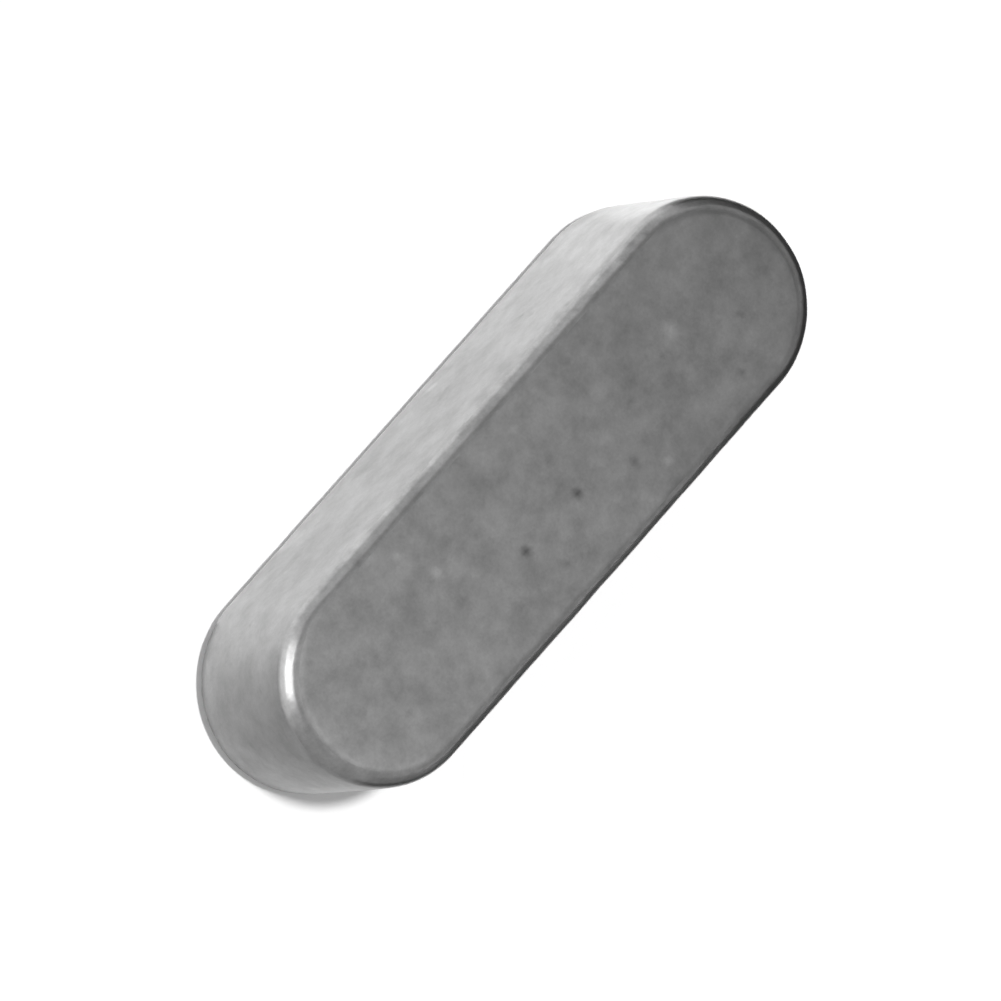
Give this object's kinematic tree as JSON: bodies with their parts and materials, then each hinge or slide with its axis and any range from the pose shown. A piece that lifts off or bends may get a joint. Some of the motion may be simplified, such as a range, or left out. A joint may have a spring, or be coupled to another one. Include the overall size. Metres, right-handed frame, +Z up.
{
  "type": "parallel key",
  "caption": "Steel parallel key with full round ends and chamfered edges, which sits in a shaft's keyseat and drives a hub through its flanks.",
  "frame": {"origin": "middle of the bottom face, which seats on the floor of the shaft's keyseat", "axes": "+X along the key, +Y across it from flank to flank, +Z up from the bottom face towards the hub"},
  "size_m": [0.02, 0.006, 0.006],
  "materials": {
    "steel": "bright drawn key steel, ground flat and lightly tumbled, with fine dark pits"
  },
  "bodies": {
    "root": {"parallel_key": "steel"}
  },
  "joints": []
}
